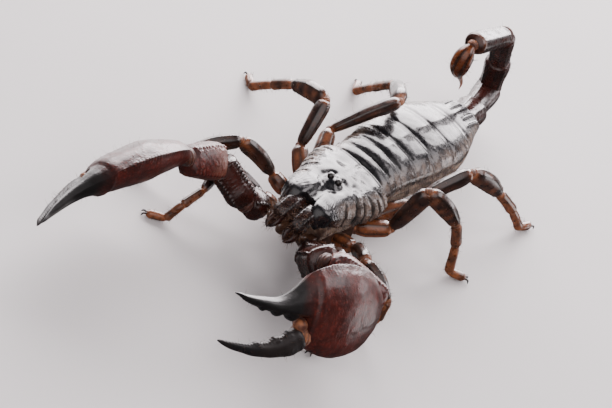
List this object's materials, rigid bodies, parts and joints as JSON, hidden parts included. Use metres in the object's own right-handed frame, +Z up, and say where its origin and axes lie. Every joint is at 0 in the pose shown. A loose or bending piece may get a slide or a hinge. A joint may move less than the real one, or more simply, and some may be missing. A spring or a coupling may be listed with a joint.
{
  "type": "large-clawed black scorpion",
  "caption": "Life-size still model of a large-clawed black scorpion standing with one pincer open and its tail curled up over its back.",
  "frame": {"origin": "on the floor, at the middle of the animal's footprint box", "axes": "+Z up, the animal faces -Y, and its own left side is towards +X"},
  "size_m": [0.0616, 0.1256, 0.0312],
  "materials": {
    "black_shell": "glossy blue-black horn",
    "brown_shell": "glossy dark brown horn with fine grains",
    "red_shell": "glossy dark red-brown horn with fine grains",
    "amber_shell": "satin amber-brown horn",
    "telson_shell": "satin amber horn with dark stripes",
    "belly_shell": "satin brown horn and soft pale skin at the flanks",
    "eye": "wet black"
  },
  "bodies": {
    "root": {"carapace": "black_shell", "back_plate_1": "black_shell", "back_plate_2": "black_shell", "back_plate_3": "black_shell", "back_plate_4": "black_shell", "back_plate_5": "black_shell", "back_plate_6": "black_shell", "back_plate_7": "black_shell", "belly": "belly_shell", "coxae": "brown_shell", "eye_right": "eye", "jaw_right": "brown_shell", "comb_right": "amber_shell", "eye_left": "eye", "jaw_left": "brown_shell", "comb_left": "amber_shell", "tail_1": "brown_shell", "tail_2": "brown_shell", "tail_3": "brown_shell", "tail_4": "brown_shell", "tail_5": "brown_shell", "telson": "telson_shell", "pincer_right_trochanter": "brown_shell", "pincer_right_femur": "brown_shell", "pincer_right_patella": "red_shell", "pincer_right_hand": "red_shell", "pincer_right_finger": "black_shell", "pincer_left_trochanter": "brown_shell", "pincer_left_femur": "brown_shell", "pincer_left_patella": "red_shell", "pincer_left_hand": "red_shell", "pincer_left_finger": "black_shell", "leg_right_1_thigh": "amber_shell", "leg_right_1_patella": "amber_shell", "leg_right_1_foot": "amber_shell", "leg_right_2_thigh": "amber_shell", "leg_right_2_patella": "amber_shell", "leg_right_2_foot": "amber_shell", "leg_right_3_thigh": "amber_shell", "leg_right_3_patella": "amber_shell", "leg_right_3_foot": "amber_shell", "leg_right_4_thigh": "amber_shell", "leg_right_4_patella": "amber_shell", "leg_right_4_foot": "amber_shell", "leg_left_1_thigh": "amber_shell", "leg_left_1_patella": "amber_shell", "leg_left_1_foot": "amber_shell", "leg_left_2_thigh": "amber_shell", "leg_left_2_patella": "amber_shell", "leg_left_2_foot": "amber_shell", "leg_left_3_thigh": "amber_shell", "leg_left_3_patella": "amber_shell", "leg_left_3_foot": "amber_shell", "leg_left_4_thigh": "amber_shell", "leg_left_4_patella": "amber_shell", "leg_left_4_foot": "amber_shell"}
  },
  "joints": []
}
